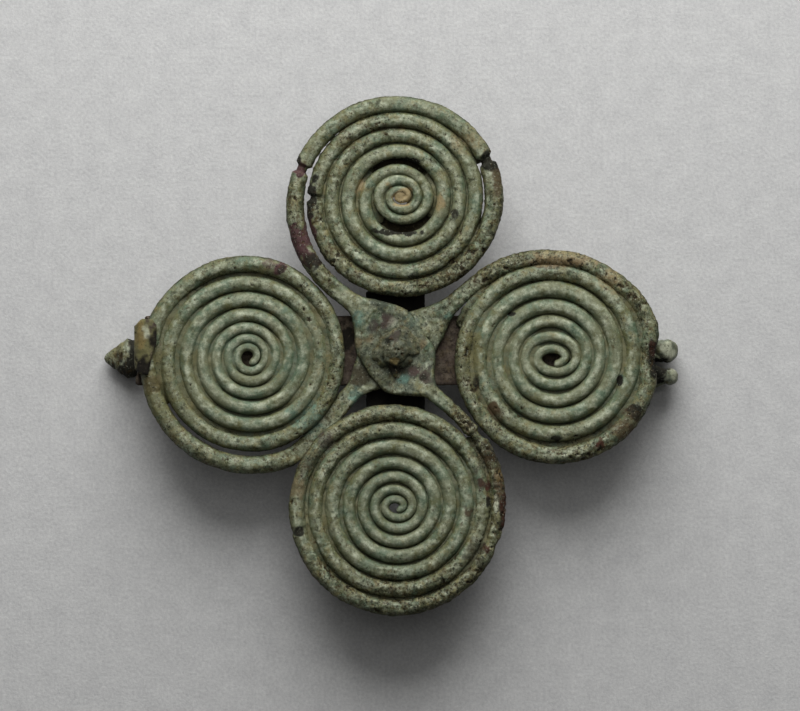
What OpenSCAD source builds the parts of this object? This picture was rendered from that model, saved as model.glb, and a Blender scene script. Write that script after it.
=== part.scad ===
// Four-spiral fibula brooch of bronze wire, lying on its pin, face up.
//
// Two tapered wires cross at the middle, one over the other. Each end of each wire is
// wound into a flat spiral disc. A rivet with a collar holds the wires on a back strip
// and on a short cross plate below it. The strip's left end is folded over the rim of
// the left disc and has a catch. The pin's spring lies at its right end.
//
// Units are millimetres. +Z is up, +X runs along the back strip towards the spring, and
// the origin is below the middle of the whole object, on the surface that it lies on.

/* [Wire] */
// Thickness of the wire in the outer turns
wire_d = 2.5; // [2.2:0.05:2.5]
// Clear gap between neighbouring turns of a spiral
turn_gap = 0.14; // [0.12:0.01:0.2]
// Thickness of the wires where they are hammered flat at the middle
hub_t = 1.2; // [0.9:0.1:1.2]
// Width of the wires where they are hammered flat at the middle
hub_w = 9; // [8:0.1:9.5]

/* [Rivet] */
// Diameter of the rivet's shank
shank_d = 2.6; // [2:0.1:2.8]
// Diameter of the rivet's round head
knob_d = 3.5; // [3.2:0.1:4]
// Height of the rivet's round head
knob_h = 1.5; // [1:0.1:2]
// Outer diameter of the collar under the head
collar_d = 6.4; // [5.5:0.1:7]
// Thickness of the collar under the head
collar_t = 0.7; // [0.4:0.1:0.9]

/* [Back strip] */
// Width of the back strip
strip_w = 10.8; // [10.4:0.1:11.2]
// Thickness of the back strip, its fold and its catch
strip_t = 0.9; // [0.7:0.1:0.9]
// Width of the cross plate
cross_w = 9.1; // [8.5:0.1:9.5]
// Length of the cross plate
cross_l = 19; // [18:0.5:20]

/* [Pin] */
// Thickness of the pin's wire in its spring
spring_wire_d = 1.9; // [1.6:0.1:1.9]
// Thickness of the pin where the catch holds it
needle_d = 1.5; // [1.2:0.1:1.5]

/* [Hidden] */
$fn = 48;
// Gap between pieces that lie on each other
seat = 0.05;
// Radial clearance of the shank in its holes
shank_play = 0.1;
hole_d = shank_d + 2 * shank_play;
// Extra length with which a cutter passes through a face
cut = 1;
// Length of the cutter that drills everything on the rivet's axis
drill_l = 20;

// Heights, from the surface up
spring_od = 8.05;
strip_z = spring_od + 0.1;
strip_top = strip_z + strip_t;
cross_t = 0.9;
cross_z = strip_z - seat - cross_t;
lower_b_z = strip_top + seat + hub_t / 2;
upper_a_z = lower_b_z + hub_t + seat;
collar_z = upper_a_z + hub_t / 2 + seat;
knob_z = collar_z + collar_t + seat;
foot_t = 0.6;
foot_z = cross_z - seat - foot_t;

// The rivet's axis
hub = [0.7, 0.5];

// Columns of a disc's row. The spiral starts at its centre, straight down the picture,
// and winds outwards against the clock. Its pitch grows over the first turns and is even
// from there. Its centre drifts a little on the way out.
CENTRE_IN = 0;
CENTRE_OUT = 1;
FIRST_RADIUS = 2;
PITCH_IN = 3;
PITCH_OUT = 4;
RAMP_TURNS = 5;
TURNS = 6;
HEIGHT = 7;
DOME = 8;
SPREAD = 9;
SWELLING = 10;
// Rows of a spread say how far a turn is bent outwards, by turns from the start
top_spread = [[6, 0], [6.25, 0.9], [6.32, 0.8], [6.5, 0], [6.75, 0.8], [6.875, 1.25]];
left_spread = [[6.6, 0], [6.76, 0.42], [6.875, 0.95], [7, 1.2], [7.04, 1.25]];
right_spread = [[5.6, 0], [6, 0.6], [6.12, 0.6], [6.25, -0.1], [6.5, -0.3], [6.6, 0.4]];
bottom_spread = [[6.6, 0], [7, 0.2], [7.25, -0.2], [7.375, 0]];
// Rows of a swelling give the wire's share of its plain thickness, by turns
top_swelling = [[6.25, 1], [6.4, 0.92], [6.6, 0.95], [6.8, 1]];
left_swelling = [[6.78, 1], [6.88, 1.1], [7.04, 1.1]];
right_swelling = [[5.7, 1], [6, 1.1], [6.15, 1.1], [6.4, 1]];
bottom_swelling = [[6.6, 1], [6.9, 1.04], [7, 1.04], [7.2, 0.86], [7.375, 0.95]];
top_disc = [[1.6, 24.6], [1.2, 24], 0.68, 1.12, 2.51, 3, 6.875, upper_a_z, 0.5, top_spread, top_swelling];
left_disc = [[-22, -0.5], [-22, -0.5], 1, 1.02, 2.56, 4.4, 7.04, 10.5, 0.15, left_spread, left_swelling];
right_disc = [[25, -0.3], [24.9, -0.2], 1.24, 1.36, 2.77, 4.5, 6.6, 10.5, 0.2, right_spread,
    right_swelling];
bottom_disc = [[0.85, -23.7], [0.55, -23.2], 0.6, 1.18, 2.62, 4.6, 7.375, 11.8, 0.15, bottom_spread,
    bottom_swelling];

// Columns of an arm's row: the two middle handles of its curve from the disc to the
// rivet, the height of its section half way, where it starts to rise to its disc, and the
// distance from the rivet at which its flat has narrowed to the plain arm
HANDLE_DISC = 0;
HANDLE_HUB = 1;
ARM_HEIGHT = 2;
RISE_FROM = 3;
ARM_FROM = 4;
top_arm = [[-7, 8.15], [-2.95, 8.6], 2.1, 0.3, 11.5];
bottom_arm = [[8.7, -7.2], [4.6, -6.1], 2.1, 0.2, 9];
right_arm = [[11.7, 10.4], [6.7, 5.2], 1.9, 0.3, 11.5];
left_arm = [[-11.3, -15.4], [-8.3, -6], 1.4, 0.84, 8];
// Distance from the rivet up to which the wires are flat
flat_to = 4;
// Share of an arm's length over which it takes on the thickness of its disc's wire
arm_blend = 0.2;

// Sections round a turn, sections along an arm, and sides of a section
RINGS_A_TURN = 24;
ARM_RINGS = 20;
SIDES = 8;

function mix(a, b, t) = a + (b - a) * t;
function unit_clamp(t) = max(0, min(1, t));
function smooth(t) = let (c = unit_clamp(t)) c * c * (3 - 2 * c);
function unit(v) = v / norm(v);
function flip(list) = [for (i = [len(list) - 1:-1:0]) list[i]];

// Spiral: distance from the centre, pitch, thickness and place after some turns
function spiral_radius(d, turns) =
    let (ramp = min(turns, d[RAMP_TURNS]))
    d[FIRST_RADIUS] + d[PITCH_IN] * ramp
    + (d[PITCH_OUT] - d[PITCH_IN]) * ramp * ramp / (2 * d[RAMP_TURNS])
    + d[PITCH_OUT] * max(turns - d[RAMP_TURNS], 0)
    + lookup(turns, d[SPREAD]);
function spiral_pitch(d, turns) =
    mix(d[PITCH_IN], d[PITCH_OUT], unit_clamp(turns / d[RAMP_TURNS]));
function spiral_thickness(d, turns) =
    min(wire_d, spiral_pitch(d, turns) - turn_gap) * lookup(turns, d[SWELLING]);
function spiral_height(d, turns) = d[HEIGHT] + d[DOME] * pow(1 - turns / d[TURNS], 2);
function spiral_place(d, turns) =
    let (
        a = 360 * turns - 90,
        r = spiral_radius(d, turns),
        c = mix(d[CENTRE_IN], d[CENTRE_OUT], turns / d[TURNS])
    )
    [c.x + r * cos(a), c.y + r * sin(a), spiral_height(d, turns)];

// A section is its place, its thickness up and down, and its width across
function spiral_sections(d) =
    let (count = ceil(d[TURNS] * RINGS_A_TURN))
    [
        for (i = [0:count])
        let (turns = min(i / RINGS_A_TURN, d[TURNS]), t = spiral_thickness(d, turns))
        [spiral_place(d, turns), t, t]
    ];

// Arm: a cubic curve from the rivet, at 0, to the spiral's last point, at 1. Its underside
// runs on level from the middle and then rises to the disc.
function arm_place(d, arm, t) =
    let (end = spiral_place(d, d[TURNS]), k = 1 - t)
    k * k * k * hub + 3 * k * k * t * arm[HANDLE_HUB]
    + 3 * k * t * t * arm[HANDLE_DISC] + t * t * t * [end.x, end.y];
function arm_section(d, arm, z_hub, t) =
    let (
        p = arm_place(d, arm, t),
        away = norm(p - hub),
        thick = spiral_thickness(d, d[TURNS]),
        flat = 1 - smooth((away - flat_to) / (arm[ARM_FROM] - flat_to)),
        plain = mix(arm[ARM_HEIGHT], thick, smooth((t - 1 + arm_blend) / arm_blend)),
        tall = mix(plain, hub_t, flat),
        level = z_hub + (tall - hub_t) / 2,
        rise = smooth((t - arm[RISE_FROM]) / (1 - arm[RISE_FROM]))
    )
    [[p.x, p.y, mix(level, spiral_place(d, d[TURNS]).z, rise)], tall, mix(thick, hub_w, flat)];
function arm_sections(d, arm, z_hub) =
    [for (i = [1:ARM_RINGS - 1]) arm_section(d, arm, z_hub, i / ARM_RINGS)];

// Whole wire: disc, arm, middle, arm, disc
function wire_sections(d1, arm1, d2, arm2, z_hub) =
    concat(
        spiral_sections(d1),
        flip(arm_sections(d1, arm1, z_hub)),
        [[[hub.x, hub.y, z_hub], hub_t, hub_w]],
        arm_sections(d2, arm2, z_hub),
        flip(spiral_sections(d2))
    );

// Sweep of an eight-sided section. Its first size lies along ref, its second across it.
// Its flats, not its corners, are that far apart.
function heading(s, i) =
    unit(s[min(i + 1, len(s) - 1)][0] - s[max(i - 1, 0)][0]);
function ring(s, i, ref) =
    let (
        along = heading(s, i),
        up = unit(ref - (ref * along) * along),
        side = cross(along, up),
        grow = 0.5 / cos(180 / SIDES)
    )
    [
        for (k = [0:SIDES - 1])
        let (a = (k + 0.5) * 360 / SIDES)
        s[i][0] + up * (s[i][1] * grow * cos(a)) + side * (s[i][2] * grow * sin(a))
    ];
module sweep(s, ref) {
    points = [for (i = [0:len(s) - 1]) each ring(s, i, ref)];
    last = (len(s) - 1) * SIDES;
    walls = [
        for (i = [0:len(s) - 2], k = [0:SIDES - 1])
        let (n = (k + 1) % SIDES, a = i * SIDES, b = a + SIDES)
        each [[a + k, b + n, a + n], [a + k, b + k, b + n]]
    ];
    start = [for (k = [0:SIDES - 1]) k];
    end = [for (k = [SIDES - 1:-1:0]) last + k];
    polyhedron(points = points, faces = concat([start], walls, [end]));
}

module shank_hole() {
    translate([hub.x, hub.y, -cut]) cylinder(h = drill_l, d = hole_d);
}

// Upper wire: top disc to bottom disc
module spiral_wire_a() {
    color("#8b937c") difference() {
        sweep(wire_sections(top_disc, top_arm, bottom_disc, bottom_arm, upper_a_z), [0, 0, 1]);
        shank_hole();
    }
}

// Lower wire: right disc to left disc
module spiral_wire_b() {
    color("#7f8a76") difference() {
        sweep(wire_sections(right_disc, right_arm, left_disc, left_arm, lower_b_z), [0, 0, 1]);
        shank_hole();
    }
}

// Rivet: round head, shank and the flat foot that it is hammered out to. The head is a
// short cylinder with the cap of a ball on it.
foot_d = 5.2;
knob_side_h = 0.45 * knob_h;
knob_cap_h = knob_h - knob_side_h;
knob_ball_r = (pow(knob_d / 2, 2) + pow(knob_cap_h, 2)) / (2 * knob_cap_h);
module rivet() {
    color("#9a8f6a") translate([hub.x, hub.y, 0]) {
        translate([0, 0, foot_z]) cylinder(h = foot_t, d = foot_d);
        translate([0, 0, foot_z]) cylinder(h = knob_z - foot_z + seat, d = shank_d);
        translate([0, 0, knob_z]) cylinder(h = knob_side_h, d = knob_d);
        translate([0, 0, knob_z + knob_side_h])
            intersection() {
                translate([0, 0, knob_cap_h - knob_ball_r]) sphere(r = knob_ball_r);
                cylinder(h = knob_h, d = knob_d);
            }
    }
}

module rivet_collar() {
    color("#868c72") translate([hub.x, hub.y, collar_z]) difference() {
        cylinder(h = collar_t, d = collar_d);
        translate([0, 0, -cut]) cylinder(h = collar_t + 2 * cut, d = hole_d);
    }
}

// Back strip, with the fold over the left disc's rim and the catch
strip_mid_y = 0.75;
strip_left = -37.5;
strip_right = 39;
fold_y0 = -3;
fold_y1 = 5.65;
fold_r = 1.4;
fold_lip = 1.2;
// How far the strip's corners stick out past the fold's middle, below and above it
ear_low = 2.1;
ear_high = 0.7;
catch_x0 = -36.8;
catch_l = 4.5;
catch_wall_r = 0.7;
catch_lip_y = -0.75;
catch_lip_r = 0.9;
catch_lip_z = 3.2;

module quarter_ring(r, t) {
    intersection() {
        difference() {
            circle(r = r + t);
            circle(r = r);
        }
        square(r + t + cut);
    }
}

// Side view of the fold, in X and Z, about the middle of its bend
module fold_profile() {
    mirror([1, 0]) {
        quarter_ring(fold_r, strip_t);
        mirror([0, 1]) quarter_ring(fold_r, strip_t);
    }
    translate([-seat, fold_r]) square([fold_lip + seat, strip_t]);
}

// End view of the catch, in Y and Z: a wall down from the strip's edge, a flat foot
// and a raised lip that the pin lies against
module catch_profile() {
    edge = strip_mid_y + strip_w / 2;
    wall_y = edge - strip_t;
    turn_y = wall_y - catch_wall_r;
    turn_z = strip_t + catch_wall_r;
    lip_turn_z = strip_t + catch_lip_r;
    translate([wall_y, turn_z]) square([strip_t, strip_z - turn_z + strip_t / 2]);
    translate([turn_y, turn_z]) mirror([0, 1]) quarter_ring(catch_wall_r, strip_t);
    translate([catch_lip_y, 0]) square([turn_y - catch_lip_y, strip_t]);
    translate([catch_lip_y, lip_turn_z]) mirror([1, 0]) mirror([0, 1])
        quarter_ring(catch_lip_r, strip_t);
    translate([catch_lip_y - catch_lip_r - strip_t, lip_turn_z])
        square([strip_t, catch_lip_z - lip_turn_z]);
}

module back_strip() {
    y0 = strip_mid_y - strip_w / 2;
    y1 = strip_mid_y + strip_w / 2;
    color("#6e6156") {
        difference() {
            translate([0, 0, strip_z]) linear_extrude(strip_t) polygon([
                [strip_left - ear_low, y0], [strip_right, y0], [strip_right, y1],
                [strip_left - ear_high, y1], [strip_left - ear_high, fold_y1],
                [strip_left, fold_y1], [strip_left, fold_y0], [strip_left - ear_low, fold_y0]
            ]);
            shank_hole();
        }
        translate([strip_left, fold_y1, strip_z + strip_t + fold_r]) rotate([90, 0, 0])
            linear_extrude(fold_y1 - fold_y0) fold_profile();
        translate([catch_x0, 0, 0]) rotate([90, 0, 90]) linear_extrude(catch_l) catch_profile();
    }
}

// Cross plate below the strip
module cross_plate() {
    color("#3a3531") difference() {
        translate([hub.x - cross_w / 2, hub.y - cross_l / 2, cross_z]) cube([cross_w, cross_l, cross_t]);
        shank_hole();
    }
}

// Pin: a leg under the strip, a spring of one and a half turns, the needle and its tip
spring_x = 40.6;
spring_r = (spring_od - spring_wire_d) / 2;
spring_leg_x = 28;
spring_y = 1.7;
spring_pitch = 3.95;
SPRING_TURNS = 1.5;
SPRING_RINGS = 20;
tip_base = [-40.3, -0.45, 2];
// Sections of the straight needle, as shares of its length
needle_from = 0.04;
needle_step = 0.12;
needle_to = 0.94;
// Rows of the corroded tip: distance past its base, width and height
tip_rows = [
    [-2.2, 1.5, 1.5], [-0.5, 1.6, 1.6], [0, 5.6, 3.6], [0.7, 6.2, 3.9], [1.3, 5.2, 3.5],
    [1.7, 4.9, 3.2], [2.4, 3.6, 2.7], [2.8, 3.3, 2.4], [3.6, 2, 1.6], [4.3, 0.7, 0.6]
];
function spring_sections() =
    [
        for (i = [0:SPRING_RINGS * SPRING_TURNS])
        let (turns = i / SPRING_RINGS, a = 360 * turns)
        [
            [
                spring_x + spring_r * sin(a),
                spring_y - spring_pitch * turns,
                spring_od / 2 + spring_r * cos(a)
            ],
            spring_wire_d, spring_wire_d
        ]
    ];
function needle_sections() =
    let (
        from = [spring_x, spring_y - spring_pitch * SPRING_TURNS, spring_wire_d / 2],
        to = tip_base
    )
    [
        for (t = [needle_from:needle_step:needle_to])
        let (d = mix(spring_wire_d, needle_d, smooth(2 * t)))
        [mix(from, to, t), d, d]
    ];
function tip_sections() =
    [for (row = tip_rows) [tip_base - [row[0], 0, 0], row[1], row[2]]];

module pin() {
    leg = [[spring_leg_x, spring_y, spring_od - spring_wire_d / 2], spring_wire_d, spring_wire_d];
    color("#9aa08a")
        sweep(concat([leg], spring_sections(), needle_sections(), tip_sections()), [0, 1, 0]);
}

spiral_wire_a();
spiral_wire_b();
rivet();
rivet_collar();
back_strip();
cross_plate();
pin();
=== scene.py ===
"""Old four-spiral bronze brooch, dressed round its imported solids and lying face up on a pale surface.

Two tapered wires cross at the middle, and each of their ends is wound into a flat disc. A rivet with a
collar holds them on a back strip and a cross plate. The strip carries a fold, a catch and the pin.
Lengths are in millimetres, and become metres where a mesh is made.
"""
import itertools
import logging
import math
from dataclasses import dataclass, replace
from enum import Enum

import bpy
import numpy as np
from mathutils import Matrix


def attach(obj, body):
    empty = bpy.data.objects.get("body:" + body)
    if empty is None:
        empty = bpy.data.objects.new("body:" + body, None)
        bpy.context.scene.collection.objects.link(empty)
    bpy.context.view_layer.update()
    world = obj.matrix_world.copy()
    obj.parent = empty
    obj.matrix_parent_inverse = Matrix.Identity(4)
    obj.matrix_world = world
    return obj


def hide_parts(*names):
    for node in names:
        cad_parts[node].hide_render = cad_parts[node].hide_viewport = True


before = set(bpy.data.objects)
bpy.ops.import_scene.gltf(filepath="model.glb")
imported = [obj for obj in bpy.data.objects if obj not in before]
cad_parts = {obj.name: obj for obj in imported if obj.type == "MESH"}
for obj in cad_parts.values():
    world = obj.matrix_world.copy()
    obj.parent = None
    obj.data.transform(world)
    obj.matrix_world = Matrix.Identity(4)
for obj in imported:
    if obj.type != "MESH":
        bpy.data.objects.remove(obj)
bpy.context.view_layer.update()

Grid = np.ndarray
Material = bpy.types.Material
Pair = tuple[float, float]
Spot = tuple[float, float, float]
Rows = tuple[Pair, ...]
Setting = dict[str | int, object]
Stock = tuple[str, str, Material]  # node, slot and material of a piece

LOG = logging.getLogger("brooch")
MM = 0.001
BODY = "root"
KINDS = ("crest", "grime", "decay", "streak")
SHARP = math.radians(75)
UP = (0.0, 0.0, 1.0)

# Heights in the stack, from the surface up, the thickness of what is stacked, and the rivet's place
SEAT = 0.05
STRIP_T = 0.9
STRIP_Z = 8.15
HUB_T = 1.2
LOWER_Z = STRIP_Z + STRIP_T + SEAT + HUB_T / 2
UPPER_Z = LOWER_Z + HUB_T + SEAT
HUB = np.array([0.7, 0.5])

# The wire's greatest thickness, the gap between its turns, and its crust: how far apart its sections are,
# and its height and its lap over both turns as shares of the thickness
WIRE_D = 2.5
TURN_GAP = 0.06
CRUST_STEP = 0.33
CRUST_TALL = 0.6
CRUST_LAP = 0.62

# Lengths over which the ends of wires and of bars are rounded, and by how much a bar's end is narrower
WIRE_END = 0.5
BAR_END = 0.3
BAR_TAPER = 0.6

# Points worked out along a disc and along an arm, and how far gone the wires are at the rivet
DISC_STEPS = 6000
ARM_STEPS = 900
HUB_DECAY = 0.65


class Tint(Enum):
    """Colours of corrosion products and dirt, as sRGB hex values."""

    TAN = "#978660"
    GOLD = "#8B7747"
    OLIVE = "#6A6742"
    UMBER = "#4C3C26"
    PITCH = "#15120B"
    CUPRITE = "#4C3032"
    RUST = "#3C1D12"
    VERDIGRIS = "#5F8678"
    PALE = "#B4B79E"
    SAGE = "#3B4235"


TAN, GOLD, OLIVE, UMBER, PITCH, CUPRITE, RUST, VERDIGRIS, PALE, SAGE = Tint


def linear(hex_colour: str) -> tuple[float, ...]:
    """Turns an sRGB hex colour into linear light, by the curve's power part or its straight foot."""
    parts = (int(hex_colour[i:i + 2], 16) / 255 for i in (1, 3, 5))
    return (*(c / 12.92 if c <= 0.04045 else ((c + 0.055) / 1.055) ** 2.4 for c in parts), 1.0)


def smooth(t: Grid) -> Grid:
    """Eases from 0 to 1: three t squared minus two t cubed, with t held between 0 and 1."""
    c = np.clip(t, 0, 1)
    return c * c * (3 - 2 * c)


def lookup(rows: Rows, t: Grid) -> Grid:
    """Straight lines between the rows' points, and level beyond their ends."""
    return np.interp(t, *np.array(rows).T)


# Patterns of chance, worked out from a point's place alone, so that they are the same on each run


def scatter(cells: Grid, seed: int) -> Grid:
    """Gives each cell of space its own number: products with large odd numbers, mixed by shifts.

    Args:
        cells: three whole numbers each.
        seed: another seed gives other numbers.

    Returns:
        Numbers from 0 to 1.
    """
    c = cells.astype(np.int64)
    mask = 0xFFFFFFFF
    h = (c[..., 0] * 73856093 ^ c[..., 1] * 19349663 ^ c[..., 2] * 83492791 ^ seed * 40503 * 65599) & mask
    for _ in range(2):
        h = ((h ^ (h >> 16)) * 0x45D9F3B) & mask
    return (h ^ (h >> 16)) / float(mask)


def haze(p: Grid, size: float, seed: int) -> Grid:
    """Value noise: the numbers of a cell's eight corners, mixed by eased shares of the place in it.

    Args:
        p: points.
        size: edge of a cell.
        seed: another seed gives another pattern.

    Returns:
        Numbers from -1 to 1.
    """
    q = p / size
    low = np.floor(q)
    share = smooth(q - low)
    total = np.zeros(p.shape[:-1])
    for corner in itertools.product((0, 1), repeat=3):
        at = np.array(corner)
        total += np.prod(np.where(at == 1, share, 1 - share), axis=-1) * scatter(low + at, seed)
    return 2 * total - 1


def froth(p: Grid, size: float, seed: int) -> Grid:
    """Value noises of one, a half and a quarter of a size, added in shares of 5, 3 and 2 tenths."""
    return 0.5 * haze(p, size, seed) + 0.3 * haze(p, size / 2, seed + 1) + 0.2 * haze(p, size / 4, seed + 2)


@dataclass(frozen=True)
class Stain:
    """Patch of another colour: its middle, reach and tint, its strength up to 1, and its stretch in Y."""

    x: float
    y: float
    reach: float
    tint: Tint
    strength: float = 1.0
    stretch: float = 1.0


Stains = tuple[Stain, ...]


def marks(*rows: tuple) -> Stains:
    """Makes stains of rows of their values."""
    return tuple(Stain(*row) for row in rows)


def stained(p: Grid, stains: Stains) -> Grid:
    """Lays stains over each other, each eased out towards a rim that value noise makes ragged.

    Args:
        p: points.
        stains: patches, from the lowest up.

    Returns:
        Linear colours, with the stain's share as their alpha.
    """
    out = np.zeros(p.shape[:-1] + (4,))
    ragged = 0.45 * haze(p, 1.4, 71) + 0.35 * haze(p, 0.6, 72)
    for s in stains:
        away = np.hypot(p[..., 0] - s.x, (p[..., 1] - s.y) / s.stretch) / s.reach
        share = (s.strength * smooth((1.15 - away + ragged) / 0.7))[..., None]
        colour = np.array(linear(s.tint.value)[:3])
        out[..., :3] = np.where(out[..., 3:] > 0, out[..., :3] * (1 - share) + colour * share, colour)
        out[..., 3:] = out[..., 3:] * (1 - share) + share
    return out


# Surfaces


@dataclass
class Skin:
    """Surface: rings of points, and for each how far it faces up, its soil and painted shade, decay and
    streak.
    """

    points: Grid
    crest: Grid
    grime: Grid
    decay: Grid
    streak: Grid


def section(tall: Grid, wide: Grid, corner: Grid, rim: Grid) -> tuple[Grid, ...]:
    """Rounded rectangles, walked round from the middle of their top.

    A quarter of the rim is a half flat, a quarter circle and another half flat. Odd quarters are walked
    backwards, and the quarter gives the offsets' signs.

    Args:
        tall, wide, corner: height, width and corner radius of each section.
        rim: shares of the rim at which the points lie.

    Returns:
        Offsets up and across, and the outward direction's two parts, each of sections by points.
    """
    c = corner[:, None]
    flat = wide[:, None] / 2 - c
    side = tall[:, None] / 2 - c
    arc = c * np.pi / 2
    lap = np.floor(rim * 4)[None, :]
    walked = (rim * 4)[None, :] - lap
    u = np.where(lap % 2 == 1, 1 - walked, walked) * (flat + arc + side)
    turn = np.clip((u - flat) / c, 0, np.pi / 2)
    across = np.minimum(u, flat) + c * np.sin(turn)
    up = side + c * np.cos(turn) - np.maximum(u - flat - arc, 0)
    right = np.where(lap < 2, 1.0, -1.0)
    above = np.where((lap == 0) | (lap == 3), 1.0, -1.0)
    return up * above, across * right, np.cos(turn) * above, np.sin(turn) * right


def rim_shares(upper: int, lower: int) -> Grid:
    """Shares of a section's rim, with numbers of points for its upper and its lower half."""
    top = np.linspace(-0.25, 0.25, upper, endpoint=False) % 1
    return np.concatenate([top, np.linspace(0.25, 0.75, lower, endpoint=False)])


@dataclass(frozen=True)
class Relief:
    """Corrosion: the depths of its swells, its coarse and fine crumbs, and its pits."""

    strength: float = 1.0
    swell: float = 0.07
    grain: float = 0.06
    crumb: float = 0.035
    pit: float = 0.2
    seed: int = 11

    def depth(self, p: Grid, decay: Grid) -> tuple[Grid, Grid]:
        """How far the skin lies in or out.

        Crumbs of 1 mm and 0.5 mm are the sizes of two value noises, with a crease where a noise is 0. They
        grow with the decay, and swells of 3 mm are added. Pits come off where a froth of 0.9 mm, a part of
        a 5 mm noise that gathers them, and a part of the decay pass a limit together.

        Args:
            p: points.
            decay: how far gone the metal is at each, from 0 to 1.

        Returns:
            The way outwards, and the dark of pits and the painted shade of creases, from 0 to 1.
        """
        s = self.seed
        coarse, fine = np.abs(haze(p, 1.0, s + 1)), np.abs(haze(p, 0.5, s + 2))
        crumbs = self.grain * (2.4 * coarse - 0.65) + self.crumb * (2.4 * fine - 0.65)
        eaten = froth(p, 0.9, s + 20) + 0.14 * haze(p, 5.0, s + 3) + 0.5 * (decay - 0.75)
        holes = smooth((eaten - 0.4) / 0.2)
        out = self.swell * haze(p, 3.0, s) + crumbs * (0.15 + decay) - 0.02 - self.pit * holes
        # Creases between the crumbs are darkened as painted shade, more as the metal is far gone
        creases = 0.6 * smooth(1.1 - coarse / 0.17) + 0.35 * smooth(1.1 - fine / 0.17)
        dirt_and_shade = np.clip(holes + creases * np.clip(1.5 * decay - 0.35, 0, 1), 0, 1)
        return self.strength * out, dirt_and_shade


def distances(place: Grid) -> Grid:
    """Distance of each point along its path."""
    return np.concatenate([[0.0], np.cumsum(np.linalg.norm(np.diff(place, axis=0), axis=1))])


def track(*parts: tuple) -> Grid:
    """Path of one stretch after another, each of an X, a Y and a Z, any of which may be one number."""
    return np.concatenate([np.column_stack(np.broadcast_arrays(*part)) for part in parts])


def sweep(place: Grid, tall: Grid, wide: Grid, corner: Grid, rim: Grid, relief: Relief, ref: Spot = UP,
          decay: Grid | float = 0.6) -> Skin:
    """Carries a rounded rectangle along a path.

    Each section stands square to the path. Its height lies along ref, less what of ref runs along the
    path, and its width along the path's direction crossed with that. The relief moves each point along
    the section's outward direction, by a decay that changes by a fifth within 7 mm. The streaks that
    drawing left are a value noise 0.5 mm wide and 3 mm long.

    Args:
        place: middles of the sections.
        tall, wide, corner: their heights, widths and corner radii.
        rim: shares of the rim at which points lie.
        relief: corrosion.
        ref: direction of the heights.
        decay: how far gone the metal is, by section.

    Returns:
        The skin, of sections by points.
    """
    along = np.gradient(place, axis=0)
    along /= np.linalg.norm(along, axis=1, keepdims=True)
    up = np.array(ref) - (along @ np.array(ref))[:, None] * along
    up /= np.linalg.norm(up, axis=1, keepdims=True)
    across = np.cross(along, up)
    a, b, na, nb = section(tall, wide, corner, rim)
    points = place[:, None] + up[:, None] * a[..., None] + across[:, None] * b[..., None]
    facing = up[:, None] * na[..., None] + across[:, None] * nb[..., None]
    gone = np.broadcast_to(decay, tall.shape)[:, None] + 0.22 * haze(points, 7.0, 77)
    gone = np.clip(gone + 0.1 * haze(points, 2.6, 78), 0, 1.3)
    out, grime = relief.depth(points, gone)
    drawn = np.stack([np.broadcast_to(distances(place)[:, None] / 6, a.shape), a, b], axis=-1)
    streak = 0.7 * haze(drawn, 0.5, 79) + 0.5 * haze(drawn, 0.25, 80)
    room = np.clip(1.2 * np.minimum(tall, wide), 0, 1)[:, None]
    out = (out + 0.03 * streak) * room
    return Skin(points + facing * out[..., None], facing[..., 2], grime, gone, streak)


def rounded_ends(steps: Grid, start: float, end: float) -> Grid:
    """Shares by which a sweep's sections shrink at its ends, as a quarter circle's height does.

    Args:
        steps: distance of each section along the path.
        start, end: lengths over which the ends close, or 0.

    Returns:
        A share for each section, never quite 0.
    """
    share = np.ones_like(steps)
    for away, reach in ((steps, start), (steps[-1] - steps, end)):
        if reach:
            share *= np.sqrt(1 - np.clip(1 - away / reach, 0, 0.985) ** 2)
    return share


def bar(place: Grid, thick: float, wide: float, upper: int, lower: int, seed: int) -> Skin:
    """Hammered bar with rounded ends, from the points of its upper and lower half and a seed."""
    share = rounded_ends(distances(place), BAR_END, BAR_END)
    return sweep(place, thick * share, wide - BAR_TAPER * (1 - share), thick * share * 0.35,
                 rim_shares(upper, lower), Relief(0.5, swell=0.05, seed=seed))


def band(place: Grid, thick: float, wide: float, side: Spot, points: int, relief: Relief) -> Skin:
    """Bent band whose width runs along the side, with a rounded far end, from the points of a half."""
    thin = thick * rounded_ends(distances(place), 0, 0.4)
    return sweep(place, thin * 0 + wide, thin, thin * 0.4, rim_shares(points, points), relief, side)


def put(name: str, data: bpy.types.ID) -> bpy.types.Object:
    """Makes an object of some data and puts it into the scene."""
    made = bpy.data.objects.new(name, data)
    bpy.context.scene.collection.objects.link(made)
    return made


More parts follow.
